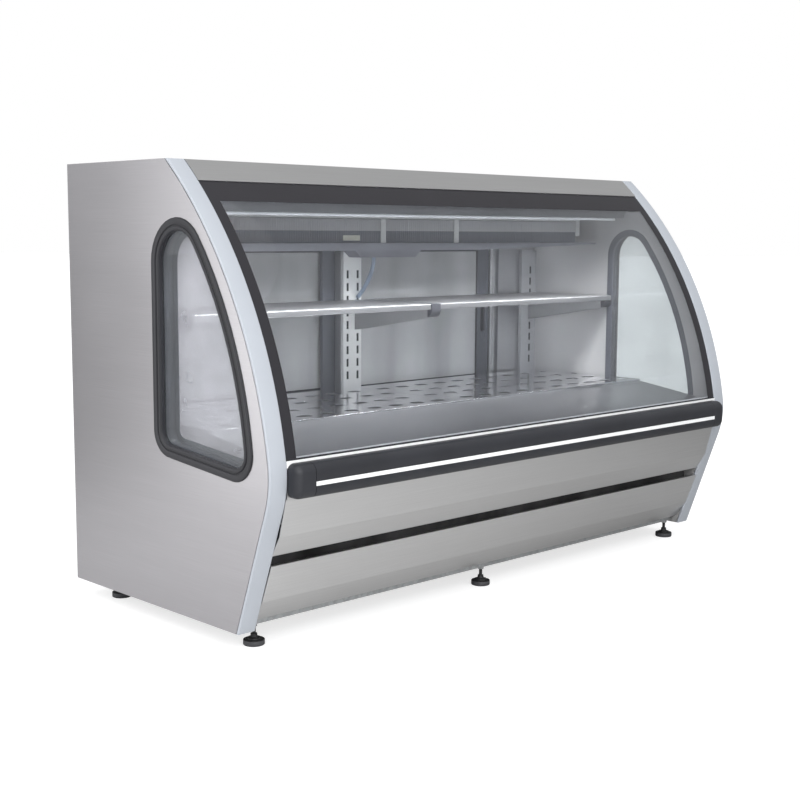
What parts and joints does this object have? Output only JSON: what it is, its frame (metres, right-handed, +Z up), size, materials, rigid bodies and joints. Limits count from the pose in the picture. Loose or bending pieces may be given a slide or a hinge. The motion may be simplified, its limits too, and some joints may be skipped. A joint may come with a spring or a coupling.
{
  "type": "refrigerated deli case",
  "caption": "Refrigerated deli display case with a curved glass front, D-shaped side windows, sliding rear doors, a shelf, perforated deck and a condensing unit in its base.",
  "frame": {"origin": "centre of the bounding box on the floor, under the feet", "axes": "+Z up; -Y towards the customer, out of the curved glass; +Y towards the staff side with the sliding doors; +X along the case, to the right of a customer who faces it"},
  "size_m": [2.0088, 0.955, 1.255],
  "materials": {
    "steel": "brushed stainless steel, satin, vertical grain",
    "inner_steel": "stainless steel lining, fine satin",
    "edge_trim": "pale satin strip",
    "fitting_white": "pale grey powder coat on steel",
    "black_rubber": "matt black rubber",
    "charcoal_plastic": "charcoal moulded plastic, fine grain",
    "white_plastic": "white plastic",
    "door_profile": "dark blue-grey door profile",
    "galvanised": "galvanised sheet steel",
    "black_paint": "black paint",
    "condenser_fin": "aluminium fins",
    "coil_fin": "coated aluminium fins",
    "dark_tray": "dark grey plastic",
    "clear_glass": "clear glass, black ceramic border on the front one",
    "door_glass": "frosted double glazing",
    "clear_hose": "clear bluish vinyl"
  },
  "bodies": {
    "cabinet": {"base_pan": "galvanised", "fan_shroud": "galvanised", "window_gasket_left": "black_rubber", "window_gasket_right": "black_rubber", "cable_gland": "black_rubber", "side_panel_left": "steel", "side_panel_right": "steel", "header": "steel", "top_panel": "steel", "rear_upper_panel": "steel", "rear_lower_panel": "steel", "door_surround": "steel", "middle_post": "steel", "upper_front_panel": "steel", "lower_front_panel": "steel", "glass_sill": "steel", "well_floor": "inner_steel", "riser_cover": "inner_steel", "front_apron": "inner_steel", "lamp_housing": "inner_steel", "edge_strip_left": "edge_trim", "edge_strip_right": "edge_trim", "standard_left": "fitting_white", "standard_middle": "fitting_white", "standard_right": "fitting_white", "evaporator_hanger": "fitting_white", "shelf_bracket_left": "galvanised", "shelf_bracket_middle": "galvanised", "shelf_bracket_right": "galvanised", "bumper_rail": "charcoal_plastic", "bumper_cap_left": "charcoal_plastic", "bumper_cap_right": "charcoal_plastic", "control_box": "charcoal_plastic", "bumper_stripe": "white_plastic", "lamp_tube": "white_plastic", "front_glass": "clear_glass", "window_glazing_left": "clear_glass", "window_glazing_right": "clear_glass", "compressor": "black_paint", "condenser_coil": "condenser_fin", "evaporator_coil": "coil_fin", "drip_tray": "dark_tray", "drain_hose": "clear_hose"},
    "door_left": {"door_frame_left": "door_profile", "door_glass_left": "door_glass"},
    "door_right": {"door_frame_right": "door_profile", "door_glass_right": "door_glass"},
    "rack_left": {"deck_rack_left": "steel"},
    "rack_right": {"deck_rack_right": "steel"},
    "display_shelf_left": {"shelf_left": "steel"},
    "display_shelf_right": {"shelf_right": "steel"},
    "fan": {"condenser_fan": "black_paint"},
    "knob": {"thermostat_knob": "charcoal_plastic"},
    "rocker": {"light_switch": "black_paint"},
    "leveller_front_left": {"foot_front_left": "black_rubber"},
    "leveller_front_middle": {"foot_front_middle": "black_rubber"},
    "leveller_front_right": {"foot_front_right": "black_rubber"},
    "leveller_rear_left": {"foot_rear_left": "black_rubber"},
    "leveller_rear_middle": {"foot_rear_middle": "black_rubber"},
    "leveller_rear_right": {"foot_rear_right": "black_rubber"}
  },
  "joints": [
    {"name": "door_left_slide", "type": "slide", "parent": "cabinet", "child": "door_left", "axis": [1, 0, 0], "range_m": [0, 0.738]},
    {"name": "door_right_slide", "type": "slide", "parent": "cabinet", "child": "door_right", "axis": [-1, 0, 0], "range_m": [0, 0.791]},
    {"name": "rack_left_lift", "type": "slide", "parent": "cabinet", "child": "rack_left", "axis": [0, 0, 1], "range_m": [0, 0.15]},
    {"name": "rack_right_lift", "type": "slide", "parent": "cabinet", "child": "rack_right", "axis": [0, 0, 1], "range_m": [0, 0.15]},
    {"name": "shelf_left_lift", "type": "slide", "parent": "cabinet", "child": "display_shelf_left", "axis": [0, 0, 1], "range_m": [0, 0.1]},
    {"name": "shelf_right_lift", "type": "slide", "parent": "cabinet", "child": "display_shelf_right", "axis": [0, 0, 1], "range_m": [0, 0.1]},
    {"name": "fan_spin", "type": "hinge", "parent": "cabinet", "child": "fan", "pos_m": [0.3, -0.0575, 0.23], "axis": [0, 1, 0], "continuous": true},
    {"name": "knob_turn", "type": "hinge", "parent": "cabinet", "child": "knob", "pos_m": [-0.735, 0.4499, 0.38], "axis": [0, 1, 0], "range_deg": [-135, 135]},
    {"name": "rocker_tip", "type": "hinge", "parent": "cabinet", "child": "rocker", "pos_m": [-0.665, 0.4503, 0.38], "axis": [1, 0, 0], "range_deg": [-24, 0]},
    {"name": "foot_front_left_turn", "type": "hinge", "parent": "cabinet", "child": "leveller_front_left", "pos_m": [-0.918, -0.2625, 0], "axis": [0, 0, 1], "continuous": true},
    {"name": "foot_front_middle_turn", "type": "hinge", "parent": "cabinet", "child": "leveller_front_middle", "pos_m": [-0.045, -0.2625, 0], "axis": [0, 0, 1], "continuous": true},
    {"name": "foot_front_right_turn", "type": "hinge", "parent": "cabinet", "child": "leveller_front_right", "pos_m": [0.918, -0.2625, 0], "axis": [0, 0, 1], "continuous": true},
    {"name": "foot_rear_left_turn", "type": "hinge", "parent": "cabinet", "child": "leveller_rear_left", "pos_m": [-0.918, 0.3675, 0], "axis": [0, 0, 1], "continuous": true},
    {"name": "foot_rear_middle_turn", "type": "hinge", "parent": "cabinet", "child": "leveller_rear_middle", "pos_m": [-0.045, 0.3675, 0], "axis": [0, 0, 1], "continuous": true},
    {"name": "foot_rear_right_turn", "type": "hinge", "parent": "cabinet", "child": "leveller_rear_right", "pos_m": [0.918, 0.3675, 0], "axis": [0, 0, 1], "continuous": true}
  ]
}
